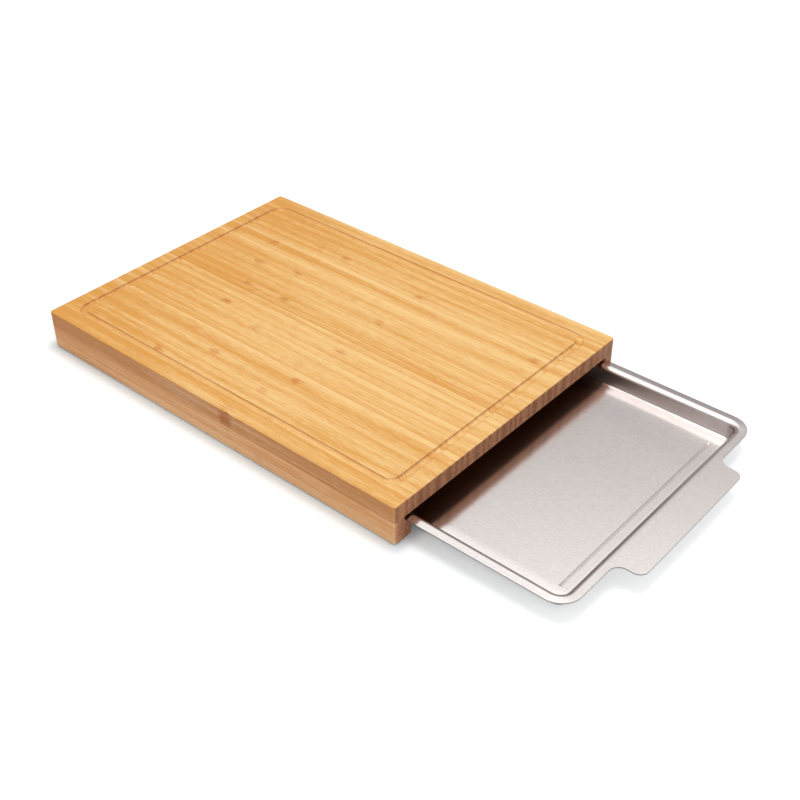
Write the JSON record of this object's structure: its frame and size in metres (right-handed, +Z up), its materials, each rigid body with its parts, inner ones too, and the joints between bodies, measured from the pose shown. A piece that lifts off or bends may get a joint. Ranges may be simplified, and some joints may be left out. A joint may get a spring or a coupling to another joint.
{
  "type": "cutting board with slide-out trays",
  "caption": "Laminated bamboo cutting board with a juice groove, standing on two side rails, with a pressed steel tray that slides out from under it at each end",
  "frame": {"origin": "on the table, in the middle of the board's underside, at the centre of the cross rail's bottom face", "axes": "X along the board towards the right end, Y across it towards the back, Z up"},
  "size_m": [0.5837, 0.286, 0.036],
  "materials": {
    "slab_bamboo": "oiled, fine sanded, grain along the board",
    "rail_bamboo": "oiled, fine sanded, grain along the rail",
    "tray_steel": "fine brushed stainless, grain along the pull"
  },
  "bodies": {
    "board": {"slab_strip_01": "slab_bamboo", "slab_strip_02": "slab_bamboo", "slab_strip_03": "slab_bamboo", "slab_strip_04": "slab_bamboo", "slab_strip_05": "slab_bamboo", "slab_strip_06": "slab_bamboo", "slab_strip_07": "slab_bamboo", "slab_strip_08": "slab_bamboo", "slab_strip_09": "slab_bamboo", "slab_strip_10": "slab_bamboo", "slab_strip_11": "slab_bamboo", "slab_strip_12": "slab_bamboo", "slab_strip_13": "slab_bamboo", "slab_strip_14": "slab_bamboo", "slab_strip_15": "slab_bamboo", "slab_strip_16": "slab_bamboo", "slab_strip_17": "slab_bamboo", "slab_strip_18": "slab_bamboo", "slab_strip_19": "slab_bamboo", "slab_strip_20": "slab_bamboo", "slab_strip_21": "slab_bamboo", "slab_strip_22": "slab_bamboo", "slab_strip_23": "slab_bamboo", "slab_strip_24": "slab_bamboo", "slab_strip_25": "slab_bamboo", "slab_strip_26": "slab_bamboo", "slab_strip_27": "slab_bamboo", "slab_strip_28": "slab_bamboo", "slab_strip_29": "slab_bamboo", "slab_strip_30": "slab_bamboo", "slab_strip_31": "slab_bamboo", "slab_strip_32": "slab_bamboo", "slab_strip_33": "slab_bamboo", "slab_strip_34": "slab_bamboo", "slab_strip_35": "slab_bamboo", "slab_strip_36": "slab_bamboo", "slab_strip_37": "slab_bamboo", "slab_strip_38": "slab_bamboo", "slab_strip_39": "slab_bamboo", "slab_strip_40": "slab_bamboo", "slab_strip_41": "slab_bamboo", "slab_strip_42": "slab_bamboo", "front_rail_lower": "rail_bamboo", "front_rail_upper": "rail_bamboo", "back_rail_lower": "rail_bamboo", "back_rail_upper": "rail_bamboo", "centre_stop": "rail_bamboo"},
    "right_tray": {"right_tray": "tray_steel"},
    "left_tray": {"left_tray": "tray_steel"}
  },
  "joints": [
    {"name": "right_tray_slide", "type": "slide", "parent": "board", "child": "right_tray", "axis": [1, 0, 0], "range_m": [-0.1405, 0.055]},
    {"name": "left_tray_slide", "type": "slide", "parent": "board", "child": "left_tray", "axis": [-1, 0, 0], "range_m": [0, 0.1955]}
  ]
}
